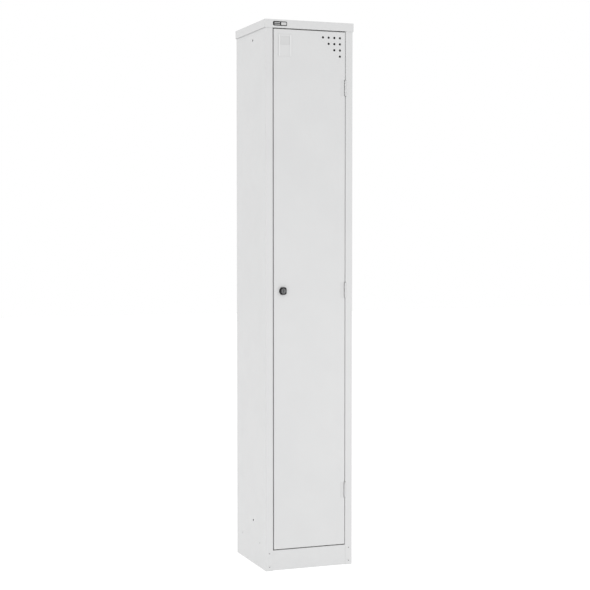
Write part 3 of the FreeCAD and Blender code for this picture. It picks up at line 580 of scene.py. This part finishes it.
def lock_escutcheon():
    """Black surround of the lock: a well rounded block on a round base, bored for the lock's body."""
    low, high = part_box("lock_escutcheon")
    centre = (low + high) / 2
    base_radius = (high.x - low.x) / 2
    base_front = high.y - SURROUND_BASE
    forwards = Vector((0, -1, 0))
    block = bmesh.new()
    slab(block, centre, SURROUND_BLOCK, SURROUND_CORNER, low.y, base_front + SURROUND_SINK)
    round_sharp_edges(block, SURROUND_EDGE, 3)
    bore = bmesh.new()
    bore_end = Vector((centre.x, high.y + BORE_OVERSHOOT, centre.z))
    through = high.y - low.y + 2 * BORE_OVERSHOOT
    lathe(bore, [(0, 0), (SURROUND_BORE, 0), (SURROUND_BORE, through), (0, through)], bore_end,
          forwards)
    work = carve(block, bore)
    ring = [(SURROUND_BORE, 0), (base_radius, 0), (base_radius, SURROUND_BASE - SURROUND_RIM),
            (base_radius - SURROUND_RIM, SURROUND_BASE), (SURROUND_BORE, SURROUND_BASE),
            (SURROUND_BORE, 0)]
    lathe(work, ring, Vector((centre.x, high.y, centre.z)), forwards)
    bmesh.ops.remove_doubles(work, verts=work.verts, dist=WELD_DISTANCE)
    add_piece("lock_escutcheon", "moulded", work)


def cam_screw():
    """Pan-head screw on the back of the lock, with a cross recess."""
    low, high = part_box("cam_screw")
    centre = (low + high) / 2
    work = merged_copy("cam_screw")
    round_sharp_edges(work, SHEET_EDGE)
    for size in ((RECESS_LONG, RECESS_WIDE), (RECESS_WIDE, RECESS_LONG)):
        tool = bmesh.new()
        slab(tool, centre, size, 0.3 * RECESS_WIDE, high.y - RECESS_DEPTH, high.y + RECESS_DEPTH)
        work = carve(work, tool)
    add_piece("cam_screw", "crossed", work)


def door_stiffener():
    """Folded channel with the dimples of its spot welds down both flanges."""
    work = merged_copy("door_stiffener")
    round_sharp_edges(work, SHEET_EDGE)
    add_piece("door_stiffener", "finished", work, [WELDED_PAINT])


def door_buffers():
    """Domed rubber buttons on the frame's lip, pointing forwards at the door."""
    work = new_work()
    for low, high in loose_boxes("door_buffers"):
        radius = (high.x - low.x) / 2
        height = high.y - low.y
        profile = [(0, 0), (radius, 0), (radius, 0.35 * height), (0.93 * radius, 0.68 * height),
                   (0.72 * radius, 0.9 * height), (0.4 * radius, 0.98 * height), (0, height)]
        base = Vector(((low.x + high.x) / 2, high.y, (low.z + high.z) / 2))
        lathe(work, profile, base, Vector((0, -1, 0)))
    add_piece("door_buffers", "domed", work)


def nameplate():
    """Blank plate: dark, with a plain pale panel and two plain pale bars."""
    low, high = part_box("nameplate")
    centre = (low + high) / 2
    width = high.x - low.x
    height = high.z - low.z
    print_front = low.y + PRINT_DEPTH
    work = new_work()
    slab(work, centre, (width, height), NAMEPLATE_CORNER, print_front, high.y)
    pale = [(Vector((low.x + PANEL_CENTRE * width, 0, centre.z)),
             (PANEL_WIDTH * width, height - 2 * NAMEPLATE_BORDER), PANEL_CORNER)]
    for lift in (-1, 1):
        pale.append((Vector((low.x + BAR_CENTRE * width, 0, centre.z + lift * BAR_SPREAD)),
                     (BAR_WIDTH * width, BAR_HEIGHT), BAR_CORNER))
    for spot, size, corner in pale:
        for face in slab(work, spot, size, corner, low.y, print_front):
            face.material_index = 1
    add_piece("nameplate", "printed", work, [FINISHES["nameplate_print"], LABEL_PALE])


def faces_forward(face):
    """Whether a face looks straight out of the cabinet's front."""
    return face.normal.y < -0.99


def card_holder():
    """Folded plate, with a painted highlight on its side rails and painted shade at the back of its
    window.
    """
    work = merged_copy("card_holder")
    round_sharp_edges(work, HOLDER_EDGE, 3)
    work.normal_update()
    low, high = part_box("card_holder")
    # The plate is half as thick as the rails stand proud.
    plate_face = low.y + (high.y - low.y) / 2
    for face in work.faces:
        depth = face.calc_center_median().y
        # The rails get the painted highlight; the back of the window gets painted shade.
        if depth < low.y + RAIL_STEP:
            face.material_index = 1
        elif faces_forward(face) and depth > plate_face + WINDOW_STEP:
            face.material_index = 2
    add_piece("card_holder", "finished", work, [FINISHES["powder_coat"], RAIL_HIGHLIGHT_PAINT, WINDOW_SHADE_PAINT])


def door_panel():
    """The door's tray, with painted shade on the pressed patches beside the hinges."""
    work = merged_copy("door_panel")
    round_sharp_edges(work, SHEET_EDGE)
    work.normal_update()
    low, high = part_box("door_panel")
    for face in work.faces:
        middle = face.calc_center_median()
        pressed = abs(middle.y - low.y - PATCH_STEP) < DEPTH_ERROR
        # Pressed patches beside the hinges get painted shade.
        if pressed and faces_forward(face) and middle.x > high.x - PATCH_REACH:
            face.material_index = 1
    add_piece("door_panel", "finished", work, [FINISHES["powder_coat"], PATCH_SHADE_PAINT])


# Studio

def stage_floor():
    """Plain floor that the cabinet stands on, wide enough for every view."""
    work = bmesh.new()
    bmesh.ops.create_grid(work, x_segments=24, y_segments=24, size=FLOOR_REACH)
    bmesh.ops.translate(work, verts=work.verts, vec=(0, 0, -FLOOR_GAP))
    mesh = bpy.data.meshes.new("floor")
    work.to_mesh(mesh)
    work.free()
    mesh.materials.append(studio_floor())
    floor = bpy.data.objects.new("floor", mesh)
    scene.collection.objects.link(floor)


def around(azimuth, elevation, distance):
    """A point at the given angles and distance from the origin. Azimuth 0 is in front."""
    turn = math.radians(azimuth)
    lift = math.radians(elevation)
    return Vector((math.sin(turn) * math.cos(lift), -math.cos(turn) * math.cos(lift),
                   math.sin(lift))) * distance


def camera():
    """Camera to the left of the front and a little above the middle, aimed at the cabinet."""
    middle = (cad_bounds[0] + cad_bounds[1]) / 2 + CAMERA_AIM
    data = bpy.data.cameras.new("camera")
    data.lens = CAMERA_LENS
    data.clip_end = 100
    holder = bpy.data.objects.new("camera", data)
    back = around(CAMERA_AZIMUTH, CAMERA_ELEVATION, CAMERA_DISTANCE)
    holder.location = middle + back
    holder.rotation_euler = (-back).to_track_quat("-Z", "Y").to_euler()
    scene.collection.objects.link(holder)
    scene.camera = holder


def softbox(name, azimuth, elevation, distance, size, power):
    """A square lamp aimed at the middle of the cabinet."""
    data = bpy.data.lights.new(name, "AREA")
    data.shape = "SQUARE"
    data.size = size
    data.energy = power
    lamp = bpy.data.objects.new(name, data)
    back = around(azimuth, elevation, distance)
    lamp.location = (cad_bounds[0] + cad_bounds[1]) / 2 + back
    lamp.rotation_euler = (-back).to_track_quat("-Z", "Y").to_euler()
    scene.collection.objects.link(lamp)


def studio():
    """White surroundings, with a soft low key on the right of the front and a faint fill on the left."""
    world = bpy.data.worlds.new("white_studio")
    world.use_nodes = True
    background = next(node for node in world.node_tree.nodes if node.type == "BACKGROUND")
    background.inputs["Color"].default_value = (1, 1, 1, 1)
    background.inputs["Strength"].default_value = 1.0
    scene.world = world
    softbox("key", azimuth=25, elevation=-13, distance=2.2, size=0.75, power=2.6)
    softbox("fill", azimuth=-60, elevation=-6, distance=2.5, size=1.0, power=0.7)
    scene.view_settings.view_transform = "Standard"


# Build

SPECIAL_PIECES = {
    "cam_screw": cam_screw,
    "card_holder": card_holder,
    "door_buffers": door_buffers,
    "door_panel": door_panel,
    "door_stiffener": door_stiffener,
    "lock_escutcheon": lock_escutcheon,
    "nameplate": nameplate,
}
for node_name in sorted(frame["nodes"]):
    if node_name in SPECIAL_PIECES:
        SPECIAL_PIECES[node_name]()
    elif node_name.endswith("_rivets"):
        blind_rivets(node_name)
    elif node_name.endswith("_hinge_pin"):
        hinge_pin(node_name)
    else:
        refine(node_name)

stage_floor()
studio()
camera()
